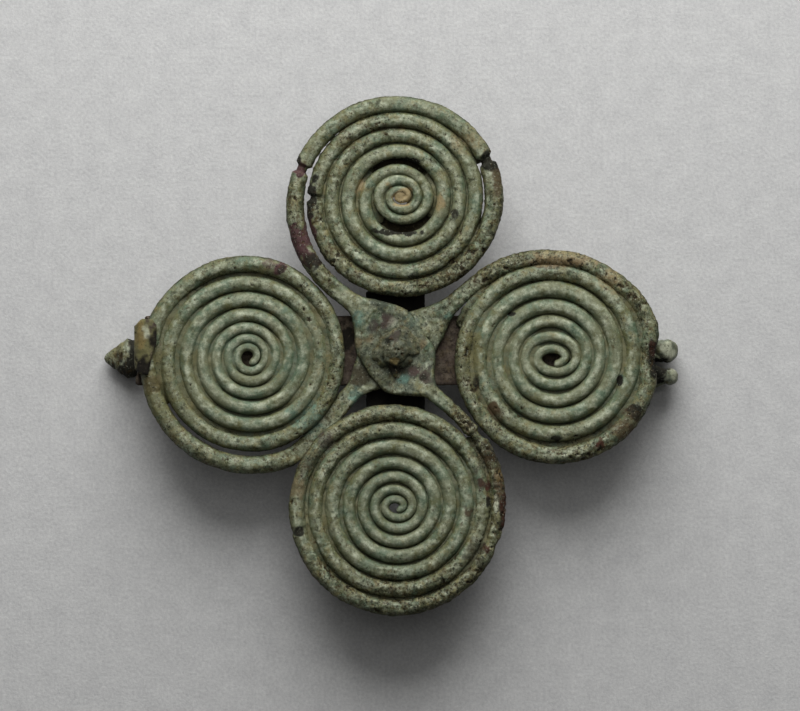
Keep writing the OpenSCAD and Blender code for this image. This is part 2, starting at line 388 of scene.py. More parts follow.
def make_piece(name: str, skins: list[Skin], node: str, slot: str, material: Material,
               stains: Stains = ()) -> None:
    """Puts skins into one mesh, with a fan of triangles over each end, and hangs it on the frame.

    A quad joins each point to the next on its ring and to the two on the next ring. The skins' other
    grids and the stains go with the points as attributes.

    Args:
        name: name of the piece.
        skins: surfaces, each of rings by points.
        node, slot: solid that the piece stands for, and slot of its finish, which is not used.
        material: its material.
        stains: patches of colour on it.
    """
    points, faces, base = [], [], 0
    values = {kind: [] for kind in KINDS}
    for skin in skins:
        rings, count = skin.points.shape[:2]
        points += [skin.points.reshape(-1, 3), skin.points[[0, -1]].mean(axis=1)]
        k = np.arange(count)
        on = (k + 1) % count
        row = base + count * np.arange(rings - 1)[:, None]
        last, middle = base + (rings - 1) * count, base + rings * count
        faces += np.stack([row + k, row + k + count, row + on + count, row + on], -1).reshape(-1, 4).tolist()
        faces += np.stack([base + k, base + on, k * 0 + middle], -1).tolist()
        faces += np.stack([last + on, last + k, k * 0 + middle + 1], -1).tolist()
        for kind, parts in values.items():
            grid = getattr(skin, kind)
            parts += [grid.ravel(), grid[[0, -1]].mean(axis=1)]
        base = middle + 2
    places = np.concatenate(points)
    mesh = bpy.data.meshes.new(name)
    mesh.from_pydata((places * MM).tolist(), [], faces)
    for kind, parts in values.items():
        flat = np.concatenate(parts).astype(np.float32)
        mesh.attributes.new(kind, "FLOAT", "POINT").data.foreach_set("value", flat)
    colours = stained(places, stains).astype(np.float32)
    mesh.attributes.new("stain", "FLOAT_COLOR", "POINT").data.foreach_set("color", colours.ravel())
    mesh.shade_smooth()
    mesh.set_sharp_from_angle(angle=SHARP)
    mesh.materials.append(material)
    piece = put(name, mesh)
    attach(piece, BODY)
    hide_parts(node)
    LOG.info("%s: %d faces", name, len(faces))


# Materials


def add(tree: bpy.types.NodeTree, kind: str, settings: Setting | None = None, links: Setting | None = None,
        output: str | int = 0) -> bpy.types.NodeSocket | None:
    """Adds one node.

    Args:
        tree: node tree that it goes into.
        kind: its type's name, after "ShaderNode".
        settings: values of its inputs, by name or number, or of its own properties, by name.
        links: outputs that its inputs are linked to, by the inputs' name or number.
        output: name or number of the output to give back.

    Returns:
        That output, if it has any.
    """
    node = tree.nodes.new("ShaderNode" + kind)
    for key, value in (settings or {}).items():
        if isinstance(key, str) and hasattr(node, key):
            setattr(node, key, value)
        else:
            node.inputs[key].default_value = value
    for key, source in (links or {}).items():
        tree.links.new(source, node.inputs[key])
    return node.outputs[output] if node.outputs else None


def cleared(owner: Material | bpy.types.World) -> bpy.types.NodeTree:
    """Gives a material or the world an empty node tree."""
    owner.use_nodes = True
    owner.node_tree.nodes.clear()
    return owner.node_tree


@dataclass(frozen=True)
class Layer:
    """Colour laid over those below it, where a value passes from one limit to another.

    The value is noise of a size, plus shares of the mesh's attributes. With no colour, it's the stains'.
    """

    colour: str | None
    size: float
    none: float
    full: float
    top: float
    detail: float = 5.0
    crest: float = 0.0
    grime: float = 0.0
    decay: float = 0.0
    streak: float = 0.0
    stain: float = 0.0


@dataclass(frozen=True)
class Patina:
    """Tin bronze, drawn or hammered, then buried: matt carbonates and chlorides over brown oxide.

    The eye gets a dull grey-green that changes within a millimetre or two, tan earth in low places,
    near-black pits, and only a faint gloss. Pale colour on the crests, where hands have rubbed, is partly
    a painted highlight where the skin faces up, and dark colour low on the flanks is painted shade.
    """

    name: str
    body: str = "#6E7257"
    second: str = "#566953"
    moss: str = "#5E5E35"
    bloom_and_highlight: str = "#C2C8AE"
    earth: str = "#7E764E"
    oxide: str = "#463618"
    pitch: str = "#15140A"
    groove: str = "#2F321B"
    roughness: float = 0.54

    def layers(self) -> tuple[Layer, ...]:
        """Layers from the lowest up, with their sizes in millimetres."""
        return (
            # Blue-green over 3 mm and olive over 2 mm, both with soft rims
            Layer(self.second, 3.0, 0.41, 0.62, 0.95, streak=0.05),
            Layer(self.moss, 2.0, 0.47, 0.72, 0.8, decay=0.08, streak=0.07),
            # Pale bloom along the crests, strongest where the skin faces up: partly rubbed metal, partly a
            # painted highlight
            Layer(self.bloom_and_highlight, 1.2, 0.76, 1.2, 0.9, crest=0.4, streak=0.1),
            # Painted shade low on the wire's flanks, where the skin faces away from above
            Layer(self.groove, 0.9, -0.36, 0.3, 0.9, crest=-1.25, streak=-0.1),
            # Dark mottling in patches of 2.6 mm, a little more of it where the skin faces less far up, which
            # adds painted shade
            Layer(self.groove, 2.6, 0.5, 0.82, 0.75, crest=-0.3, decay=0.22, streak=-0.07),
            # Tan earth of 1.3 mm, brown oxide of 0.6 mm and dark flecks of 1.1 mm, mostly in far gone metal
            Layer(self.earth, 1.3, 0.58, 0.78, 0.75, decay=0.13),
            Layer(self.oxide, 0.6, 0.61, 0.73, 0.8, 7.0, decay=0.11),
            Layer(self.groove, 1.1, 0.62, 0.75, 0.8, 8.0, decay=0.14, streak=-0.08),
            # Stains
            Layer(None, 0.7, 0.55, 1.2, 0.95, stain=1.0),
            # Black specks of 0.4 mm
            Layer(self.pitch, 0.4, 0.64, 0.72, 0.85, decay=0.12),
            # Pits with dark soil in them, and creases and deep gaps darkened as painted shade
            Layer(self.oxide, 0.5, 0.64, 1.1, 0.8, grime=0.6),
            Layer(self.pitch, 0.5, 1.05, 1.45, 0.85, grime=0.9),
            # Pale grains of sand of 0.3 mm
            Layer(self.bloom_and_highlight, 0.3, 0.6, 0.69, 0.4, decay=0.03),
        )

    def build(self) -> Material:
        """Lays the layers over the body's colour, with roughness and bumps from a fine grain.

        Returns:
            The material.
        """
        material = bpy.data.materials.new(self.name)
        tree = cleared(material)
        at: Setting = {"Vector": add(tree, "TexCoord", output="Object")}
        solid: Setting = {"noise_dimensions": "4D"}
        stain = add(tree, "Attribute", {"attribute_name": "stain"}, output="Alpha")
        sources = {kind: add(tree, "Attribute", {"attribute_name": kind}, output="Fac") for kind in KINDS}
        sources["stain"] = stain
        colour = None
        for number, layer in enumerate(self.layers(), 1):
            noise = {"W": number, "Scale": 1 / (layer.size * MM), "Detail": layer.detail, "Roughness": 0.7}
            value = add(tree, "TexNoise", solid | noise, at)
            for kind, source in sources.items():
                share = getattr(layer, kind)
                if share:
                    value = add(tree, "Math", {"operation": "MULTIPLY_ADD", 1: share}, {0: source, 2: value})
            limits: Setting = {"From Min": layer.none, "From Max": layer.full, "To Max": layer.top}
            limits["interpolation_type"] = "SMOOTHSTEP"
            settings: Setting = {"data_type": "RGBA", 6: linear(self.body)}
            links: Setting = {0: add(tree, "MapRange", limits, {"Value": value})}
            if colour:
                links[6] = colour
            if layer.colour:
                settings[7] = linear(layer.colour)
            else:
                links[7] = stain.node.outputs["Color"]
            colour = add(tree, "Mix", settings, links, 2)
        # Grain of 0.2 mm, drawn a little coarser than the real 0.1 mm so that it shows, and lumps of 0.6 mm
        noise = {"W": 20, "Scale": 1 / (0.2 * MM), "Detail": 3, "Roughness": 0.7}
        grain = add(tree, "TexNoise", solid | noise, at)
        noise = {"W": 21, "Scale": 1 / (0.6 * MM), "Detail": 6, "Roughness": 0.75}
        lumps = add(tree, "TexNoise", solid | noise, at)
        shade = add(tree, "MapRange", {"From Min": 0.25, "From Max": 0.75, "To Min": 0.74, "To Max": 1.26},
                    {"Value": grain})
        tinted = add(tree, "VectorMath", {"operation": "SCALE"}, {0: colour, "Scale": shade})
        rough = add(tree, "MapRange", {"From Min": 0.3, "From Max": 0.7, "To Min": self.roughness - 0.12,
                                       "To Max": self.roughness + 0.16}, {"Value": grain})
        # Dark places are pits and loose oxide like soot, so they are matt
        matt = add(tree, "MapRange", {"From Min": 0.01, "From Max": 0.09, "To Min": 0.45, "To Max": 0.0},
                   {"Value": colour})
        rough = add(tree, "Math", {"use_clamp": True}, {0: rough, 1: matt})
        height = add(tree, "Math", {"operation": "MULTIPLY_ADD", 1: 0.35}, {0: grain, 2: lumps})
        bump = add(tree, "Bump", {"Strength": 0.8, "Distance": 0.14 * MM}, {"Height": height})
        shader = add(tree, "BsdfPrincipled", {"Metallic": 0.0, "Specular IOR Level": 0.35},
                     {"Base Color": tinted, "Roughness": rough, "Normal": bump})
        add(tree, "OutputMaterial", None, {"Surface": shader})
        return material


# The wires


@dataclass(frozen=True)
class Knock:
    """Break or dent of a wire: its turn, half its length in turns, and the share of the thickness."""

    turn: float
    half: float
    swell: float


@dataclass(frozen=True)
class Fill:
    """Corrosion in the groove outside some turns: its height, as a share of the wire, and painted shade."""

    start: float
    stop: float
    lift: float = 0.02
    dirt_and_shade: float = 0.0


@dataclass(frozen=True)
class Disc:
    """End of a wire wound into a flat spiral, from its centre outwards against the clock."""

    centre_in: Pair
    centre_out: Pair
    first_radius: float
    pitch_in: float
    pitch_out: float
    ramp_turns: float
    turns: float
    height: float
    dome: float
    spread: Rows
    swelling: Rows
    decay: Rows
    fills: tuple[Fill, ...]
    fused: Pair
    knocks: tuple[Knock, ...] = ()
    oval: float = 0.0
    eye: float = 0.0

    def pitch(self, t: Grid) -> Grid:
        """Pitch, which grows evenly over the first turns."""
        return self.pitch_in + (self.pitch_out - self.pitch_in) * np.clip(t / self.ramp_turns, 0, 1)

    def thickness(self, t: Grid) -> Grid:
        """Thickness: what the pitch leaves beside the gap, times the swelling and the knocks."""
        thick = np.minimum(WIRE_D, self.pitch(t) - TURN_GAP) * lookup(self.swelling, t)
        for k in self.knocks:
            thick = thick * (1 + k.swell * smooth(1.6 * (1 - np.abs(t - k.turn) / k.half)))
        return thick

    def place(self, t: Grid) -> Grid:
        """Middle of the wire after some turns.

        The radius is the pitch summed up from the first radius, plus the spread. The oval draws the
        innermost turns out in X and presses them in Y. The centre drifts evenly, and the height falls with
        the square of the turns that are left.

        Args:
            t: turns from the start.

        Returns:
            A point for each.
        """
        ramp = np.minimum(t, self.ramp_turns)
        r = self.first_radius + self.pitch_in * ramp
        r = r + (self.pitch_out - self.pitch_in) * ramp * ramp / (2 * self.ramp_turns)
        r = r + self.pitch_out * np.maximum(t - self.ramp_turns, 0) + lookup(self.spread, t)
        share = t / self.turns
        centre = np.outer(1 - share, self.centre_in) + np.outer(share, self.centre_out)
        a = 2 * np.pi * t - np.pi / 2
        drawn = self.oval * np.clip(1 - t / 2.5, 0, 1)
        return np.column_stack([centre[:, 0] + r * (1 + drawn) * np.cos(a),
                                centre[:, 1] + r * (1 - drawn) * np.sin(a),
                                self.height + self.dome * (1 - share) ** 2])

    def crust(self, relief: Relief) -> list[Skin]:
        """Corrosion that fills the grooves: a band half way between a turn and the next one.

        Its top lies above the wire's middle by the lift times the thickness, and higher on the disc's
        left and right, where the turns have grown together. It sinks over 4 mm at its ends.

        Args:
            relief: corrosion.

        Returns:
            A skin for each fill, and one for the plug that closes the eye of some discs.
        """
        skins = []
        if self.eye:
            x = np.linspace(-self.eye, self.eye, 24)
            share = np.sqrt(np.clip(1 - (x / self.eye) ** 2, 0.01, 1))
            place = track((self.centre_in[0] + x, self.centre_in[1], self.height + self.dome))
            wide = 2 * self.eye * share
            skins.append(sweep(place, 0.9 * share, wide, 0.44 * share, rim_shares(16, 8), relief))
        for f in self.fills:
            length = 2 * np.pi * abs(self.place(np.array([f.stop]))[0, :2] - self.centre_out).max()
            t = np.linspace(f.start, f.stop, max(60, int(length * (f.stop - f.start) / CRUST_STEP)))
            inner, outer = self.place(t), self.place(t + 1)
            thick = (self.thickness(t) + self.thickness(t + 1)) / 2
            gap = np.linalg.norm(outer - inner, axis=1) - thick
            middle = (inner + outer) / 2
            side = np.cos(2 * np.pi * t - np.pi / 2)
            grown = np.where(side > 0, self.fused[1], self.fused[0]) * smooth((np.abs(side) - 0.5) / 0.45)
            steps = distances(middle)
            sunk = 0.5 * (1 - smooth(np.minimum(steps, steps[-1] - steps) / 4))
            bumps = 0.09 * haze(middle, 3.0, 91) + 0.06 * haze(middle, 1.0, 92)
            lift = (f.lift + grown - sunk + bumps) * thick
            share = rounded_ends(steps, WIRE_END, WIRE_END)
            tall, wide = CRUST_TALL * thick * share, (gap + CRUST_LAP * thick) * share
            middle = middle + np.outer(lift - tall / 2, UP)
            gone = lookup(self.decay, t + 0.5)
            skin = sweep(middle, tall, wide, tall * 0.3, rim_shares(10, 4), relief, UP, gone)
            # The crust counts as facing less far up, so the layers paint more shade on it; a deep gap's crust
            # is painted dark as the shade in it
            skin.crest = skin.crest * 0.7
            skin.grime = np.maximum(skin.grime, f.dirt_and_shade)
            skins.append(skin)
        return skins


@dataclass(frozen=True)
class Arm:
    """Stretch of wire from the rivet to a disc.

    It has its curve's handles, its height half way, where it rises to the disc, and the distances from the
    rivet at which its flat starts and ends to narrow.
    """

    handle_disc: Pair
    handle_hub: Pair
    height: float
    rise_from: float
    flat_to: float
    plain_from: float


@dataclass
class Course:
    """Path of a wire: middles, heights, widths and decay of its sections."""

    place: Grid
    tall: Grid
    wide: Grid
    decay: Grid

    def joined(self, other: "Course") -> "Course":
        """This course and then the other one."""
        return Course(*map(np.concatenate, zip(vars(self).values(), vars(other).values())))

    def backwards(self) -> "Course":
        """This course from its end, without that end."""
        return Course(*(a[-2::-1] for a in vars(self).values()))

    def resampled(self, rings: int) -> "Course":
        """The same course in sections whose spacing goes with the root of the wire's thickness.

        Args:
            rings: number of sections.

        Returns:
            The new course.
        """
        steps = distances(self.place)
        thick = np.minimum(self.tall, self.wide)
        pace = np.concatenate([[0], np.cumsum(np.diff(steps) / np.sqrt(0.5 * (thick[1:] + thick[:-1])))])
        at = np.interp(np.linspace(0, pace[-1], rings), pace, steps)
        spread = [np.interp(at, steps, v) for v in (*self.place.T, self.tall, self.wide, self.decay)]
        return Course(np.column_stack(spread[:3]), *spread[3:])


@dataclass(frozen=True)
class Winding:
    """Half of a wire: a disc, its arm, and the name and stains of the piece."""

    name: str
    disc: Disc
    arm: Arm
    stains: Stains

    def course(self, middle_z: float, middle_w: float) -> Course:
        """Path from the disc's centre to the rivet.

        The arm is a cubic curve. Its section goes from flat at the rivet to plain, and its underside runs
        level from the rivet and then eases up or down to the disc.

        Args:
            middle_z, middle_w: height and width of the wire at the rivet.

        Returns:
            The course.
        """
        d, arm = self.disc, self.arm
        t = np.linspace(0, d.turns, DISC_STEPS)
        thick = d.thickness(t)
        coil = Course(d.place(t), thick, thick, lookup(d.decay, t))
        end = coil.place[-1]
        t = np.linspace(1, 0, ARM_STEPS)[1:]
        k, s = 1 - t[:, None], t[:, None]
        flat_place = (k ** 3 * HUB + 3 * k * k * s * np.array(arm.handle_hub)
                      + 3 * k * s * s * np.array(arm.handle_disc) + s ** 3 * end[:2])
        away = np.linalg.norm(flat_place - HUB, axis=1)
        flat = 1 - smooth((away - arm.flat_to) / (arm.plain_from - arm.flat_to))
        plain = arm.height + (thick[-1] - arm.height) * smooth((t - 0.8) / 0.2)
        tall = plain + (HUB_T - plain) * flat
        level = middle_z + (tall - HUB_T) / 2
        z = level + (end[2] - level) * smooth((t - arm.rise_from) / (1 - arm.rise_from))
        wide = thick[-1] + (middle_w - thick[-1]) * flat
        decay = coil.decay[-1] + (HUB_DECAY - coil.decay[-1]) * smooth((1 - t) * 1.5)
        return coil.joined(Course(np.column_stack([flat_place, z]), tall, wide, decay))


HUB_STAINS = marks(
    (0.7, 0.5, 8, SAGE, 0.47), (-4.8, 5.5, 1.8, VERDIGRIS, 0.45, 1.4), (1.9, -3.6, 0.9, VERDIGRIS, 0.7),
    (5, -3.2, 1.3, CUPRITE, 0.5, 1.3), (5, -3.3, 0.7, PITCH, 0.9), (0.2, 5, 0.8, PALE, 0.6),
    # (1.2, -2.2) in PITCH is the shadow under the rivet's head, painted
    (-1, 5.4, 1.2, CUPRITE, 0.6), (1.2, -2.2, 2, PITCH, 1, 0.5), (3.2, 5.6, 1.2, VERDIGRIS, 0.2),
    (-3.6, 2.4, 1, TAN, 0.5), (3.6, -2.3, 1, CUPRITE, 0.6), (5, 1.9, 1, TAN, 0.5),
    (-5.2, 2.2, 1.1, TAN, 0.5), (-2, 8.2, 1.8, SAGE, 0.6), (9, 6, 1.5, VERDIGRIS, 0.3),
    (-2.9, 4.6, 1, CUPRITE, 0.4))


@dataclass(frozen=True)
class CrossedWire:
    """Wire with a disc at each end, made as two pieces that meet under the rivet's collar."""

    first: Winding
    second: Winding
    middle_z: float
    middle_w: float
    stock: Stock
    crust_material: Material
    relief: Relief
    rings: int = 4500
    upper_points: int = 24
    lower_points: int = 12

    def build(self) -> None:
        """Sweeps the whole wire, cuts the skin at the rivet, and fills the grooves of both discs."""
        first, second = (w.course(self.middle_z, self.middle_w) for w in (self.first, self.second))
        course = first.joined(second.backwards()).resampled(self.rings)
        steps = distances(course.place)
        # A hand-drawn wire changes slowly, by 3.5% within 5 mm
        lump = 1 + 0.035 * haze(np.outer(steps, (1, 0, 0)), 5.0, 9)
        share = rounded_ends(steps, WIRE_END, WIRE_END) * lump
        tall, wide = course.tall * share, course.wide * share
        skin = sweep(course.place, tall, wide, np.minimum(tall, wide) / 2 * 0.97,
                     rim_shares(self.upper_points, self.lower_points), self.relief, UP, course.decay)
        # The second piece starts with a smaller ring inside the first one's end
        cut = int(np.argmin(np.linalg.norm(course.place[:, :2] - HUB, axis=1)))
        plug = course.place[cut - 4] + 0.8 * (skin.points[cut - 4] - course.place[cut - 4])
        near = Skin(*(a[:cut + 1] for a in vars(skin).values()))
        far = Skin(*(np.concatenate([a[cut:cut + 1], a[cut:]]) for a in vars(skin).values()))
        far.points[0] = plug
        for winding, half in ((self.first, near), (self.second, far)):
            stains = HUB_STAINS + winding.stains
            make_piece(winding.name, [half], *self.stock, stains)
            filling = winding.disc.crust(replace(self.relief, pit=0.12))
            make_piece(winding.name + "_crust", filling, *self.stock[:2], self.crust_material, stains)


TOP = Winding(
    "wire_a_top",
    Disc((1.6, 24.6), (1.2, 24), 0.68, 1.12, 2.51, 3, 6.875, UPPER_Z, 0.5,
         spread=((0, -0.2), (0.5, 0), (1.7, 0), (1.9, -0.35), (2.1, -0.35), (2.25, -0.15), (2.4, -0.5),
                 (2.6, -0.5), (2.75, -0.1), (2.9, 0.22), (3.1, 0.22), (3.25, 0), (6, 0), (6.25, 0.42),
                 (6.32, 0.42), (6.4, 0.15), (6.5, -0.05), (6.65, 0.22), (6.75, 0.5), (6.875, 0.9)),
         swelling=((1.75, 1), (1.9, 0.8), (2.1, 0.8), (2.25, 0.95), (2.4, 0.78), (2.6, 0.78), (2.8, 1),
                   (2.9, 0.9), (3.1, 0.9), (3.25, 1), (5.2, 1), (5.3, 1.04), (6, 1.05), (6.25, 1.2),
                   (6.4, 1.06), (6.6, 1.08), (6.8, 1.17)),
         decay=((0, 0.3), (2.6, 0.35), (3.5, 0.5), (4.4, 0.55), (4.8, 0.7), (5, 0.75), (5.3, 0.65),
                (5.7, 0.7), (5.85, 0.9), (6.28, 0.95), (6.36, 0.55), (6.66, 0.55), (6.72, 0.85),
                (6.875, 0.8)),
         # Fills whose fourth value is 1 lie low in the deep gaps round the inner coil and are painted dark,
         # as the shade in them
         fills=(Fill(0.1, 1.9), Fill(1.84, 2.2, -0.45, 1.0), Fill(2.16, 2.38), Fill(2.34, 2.66, -0.45, 1.0),
                Fill(2.62, 5.215), Fill(5.32, 5.55)),
         fused=(0.16, 0.16), oval=0.14, eye=1.1,
         knocks=(Knock(6.319, 0.009, -0.42), Knock(6.70, 0.009, -0.4), Knock(5.746, 0.008, -0.4))),
    Arm((-7.1, 8.2), (-3.4, 7.8), 2.1, 0.3, 3.0, 10.8),
    marks(
        (11.5, 33.2, 3, TAN, 0.3, 0.7), (-6.3, 33.2, 3.4, UMBER, 0.3, 0.6), (0, 35.4, 3.6, UMBER, 0.3, 0.3),
        (16.4, 26.5, 1, UMBER, 0.5, 3), (-14.1, 17.6, 2.6, CUPRITE, 1, 1.5), (-12.4, 14.6, 1.6, PITCH, 0.9),
        # The PITCH at (15.4, 30.4) is painted shade in the break of the outer turn
        (-14.3, 28.9, 1.2, CUPRITE), (-14.7, 30.1, 0.9, PITCH), (15.4, 30.4, 1.7, PITCH),
        (-12.2, 25.4, 1.1, PITCH, 1, 2.1), (-12.7, 22.2, 0.8, PITCH, 0.9, 1.5),
        (-4.6, 26.4, 1.2, TAN, 0.5, 1.5), (7.6, 24, 0.9, TAN, 0.5, 1.8), (-0.4, 26.6, 0.8, TAN, 0.5),
        # The two long PITCH bands at Y 30.1 and 19.1 are painted shade in the deep grooves round the inner
        # coil
        (1.7, 24.3, 1.7, TAN, 0.9), (1.9, 30.1, 3.6, PITCH, 0.9, 0.18), (1.4, 19.1, 3.6, PITCH, 0.9, 0.17),
        (-2.8, 19.4, 0.8, PITCH, 0.6, 0.6), (9.8, 21.6, 0.7, PITCH, 0.6, 1.6),
        (3.1, 12.3, 1.2, PITCH, 0.5, 0.6)),
)
BOTTOM = Winding(
    "wire_a_bottom",
    Disc((0.85, -23.35), (0.55, -23.2), 0.62, 1.18, 2.62, 4.6, 7.375, 11.8, 0.15,
         spread=((6.6, 0), (7, 0.2), (7.25, -0.2), (7.375, 0)),
         swelling=((0, 1.1), (1, 1), (5, 1), (5.5, 1.02), (6.6, 1.02), (6.9, 1.05), (7, 1.05), (7.2, 0.9),
                   (7.375, 0.95)),
         decay=((0, 0.2), (3.5, 0.3), (5, 0.45), (6.2, 0.8), (6.6, 0.7), (7.2, 1.1)),
         fills=(Fill(0.5, 6.37),), fused=(0.2, 0.2), oval=0.15,
         knocks=(Knock(7.36, 0.012, -0.4), Knock(6.79, 0.006, -0.12), Knock(7.19, 0.01, -0.16))),
    Arm((8.9, -7.2), (5.8, -6.3), 2.1, 0.2, 2.8, 9.0),
    marks(
        (0.6, -23.2, 15.5, SAGE, 0.16), (14.6, -16.2, 2.4, UMBER, 0.4, 1.6),
        (16.7, -18.6, 0.8, GOLD, 0.7, 1.5), (15, -30, 0.9, RUST, 0.8, 1.2),
        (11.6, -24.4, 0.8, UMBER, 0.8, 1.6), (13.9, -19.8, 0.8, RUST, 0.8, 1.8),
        (-13.6, -16.2, 2.2, UMBER, 0.35, 1.6), (16.8, -20, 1.5, UMBER, 0.7, 2.4),
        (13, -30.5, 2.2, UMBER, 0.4), (17.7, -24, 0.9, RUST, 1, 3.6), (15, -20.5, 0.7, RUST, 1, 3.4),
        (16.2, -23, 0.4, PALE, 0.9, 4.5), (15.1, -22.6, 0.5, PITCH, 1, 2.6), (-14.9, -20.5, 2, TAN, 0.5),
        (-14.4, -27.4, 0.9, PITCH), (-10.2, -13.1, 2, CUPRITE, 0.4), (15.4, -15.9, 1.4, PITCH, 0.8)),
)
RIGHT = Winding(
    "wire_b_right",
    Disc((25.25, -0.3), (24.9, -0.2), 1.2, 1.36, 2.77, 4.5, 6.6, 10.5, 0.2,
         spread=((0, 0.3), (0.16, -0.1), (0.35, -0.25), (0.6, -0.25), (1.1, 0), (5.5, 0), (5.7, -0.25),
                 (5.85, -0.1), (6, 0.6), (6.12, 0.6), (6.21, 0.15), (6.228, -0.45), (6.268, -0.45),
                 (6.285, 0.2), (6.3, 0.45), (6.34, 0.15), (6.4, -0.45), (6.5, -0.8), (6.6, -0.25)),
         swelling=((0, 1.1), (1, 1), (3.8, 1), (4.5, 1.07), (5.7, 1.07), (6, 1.14), (6.15, 1.14),
                   (6.4, 1.07)),
         decay=((0, 0.15), (3.5, 0.25), (5, 0.5), (5.8, 0.75), (6.3, 0.95)),
         fills=(Fill(0.2, 5.7),), fused=(0.3, 0.24), knocks=(Knock(6.248, 0.024, -0.22),), oval=0.26),
    Arm((11.7, 10.4), (6.7, 5.2), 1.9, 0.3, 1.5, 12.5),
    marks(
        (40.9, -0.4, 1.3, PITCH, 1, 2.3), (40.5, 1.2, 0.7, RUST, 0.9, 2.2), (36.5, -11.5, 2.8, UMBER, 0.5),
        (27.5, 15.4, 5.5, TAN, 0.35, 0.25), (34, 11.8, 2.2, TAN, 0.4), (26, 14.4, 7, UMBER, 0.6, 0.14),
        (38, -8.8, 1.1, PITCH, 0.8, 1.6), (25.6, -12.9, 1.5, PITCH, 0.7, 0.4), (32.6, -13.9, 1, RUST, 0.6),
        (16, -8, 1, UMBER, 0.8, 1.3), (18.6, 6.4, 0.7, PITCH, 1, 0.6), (13.2, -4.1, 0.45, PITCH, 1, 1.8),
        (35.5, -3.8, 0.45, PITCH, 1, 1.8), (12.6, 0.5, 2.2, OLIVE, 0.5, 1.8), (16.5, -9.5, 1.6, UMBER, 0.35),
        (41, 3.4, 1.3, VERDIGRIS, 0.2)),
)
LEFT = Winding(
    "wire_b_left",
    Disc((-22.0, -0.15), (-22, -0.5), 0.9, 1.03, 2.56, 4.4, 7.04, 10.5, 0.15,
         spread=((0, 0), (1, 0.06), (5.55, 0), (5.72, 0.3), (5.85, 0.42), (5.95, 0.35), (6.05, 0.25),
                 (6.2, 0.05), (6.3, 0.08), (6.42, 0.35), (6.5, 0.45), (6.6, 0.5), (6.7, 0.65), (6.8, 0.8),
                 (6.875, 0.9), (7, 1.0), (7.04, 1.0)),
         swelling=((0, 1.3), (1, 1.08), (2, 1), (5.5, 1), (6.2, 1.04), (6.5, 1.08), (6.78, 1.1), (6.88, 1.17),
                   (7.04, 1.17)),
         decay=((0, 0.1), (4, 0.2), (5.2, 0.4), (6.2, 0.7), (6.8, 0.75)),
         fills=(Fill(0.4, 5.83),), fused=(0.28, 0.3)),
    Arm((-11.3, -15.1), (-8.3, -6), 1.4, 0.84, 1.5, 9.5),
    marks(
        (-18.8, 14.4, 1.2, CUPRITE, 0.4), (-17.4, 13.5, 1, CUPRITE, 0.8), (-17, 13.2, 0.7, PITCH, 0.8),
        (-35.5, -6, 4, OLIVE, 0.4, 1.6), (-36.8, -4, 1.4, UMBER, 0.5, 1.6), (-13, -9.5, 3, VERDIGRIS, 0.3),
        (-5.5, -6.5, 1.6, VERDIGRIS, 0.5), (-4.6, -2.9, 2, UMBER, 0.5)),
)


@dataclass(frozen=True)
class Weld:
    """Corrosion grown in the corner where one wire crosses the other: a band along the upper one."""

    stock: Stock
    path: tuple[Spot, ...] = ((3.2, 6.3, 10.5), (4.0, 5.6, 10.56), (4.8, 4.8, 10.56), (5.6, 3.8, 10.56),
                              (6.2, 2.9, 10.5))
    tall: float = 1.0
    wide: float = 3.6
    lean: Spot = (0.36, 0.22, 0.91)

    def build(self) -> None:
        """Sweeps a rounded rectangle along the path, whose corners are averaged away over 19 points."""
        rows = np.arange(len(self.path))
        t = np.linspace(0, rows[-1], 90)
        lines = [np.pad(np.interp(t, rows, c), 9, "edge") for c in zip(*self.path)]
        place = np.column_stack([np.convolve(c, np.full(19, 1 / 19), "valid") for c in lines])
        share = rounded_ends(distances(place), 1.5, 1.5)
        tall, wide = self.tall * share, self.wide * share
        skin = sweep(place, tall, wide, tall * 0.45, rim_shares(20, 8), Relief(seed=33), self.lean, 0.7)
        make_piece("hub_crust", [skin], *self.stock, HUB_STAINS)


# The rivet and its collar


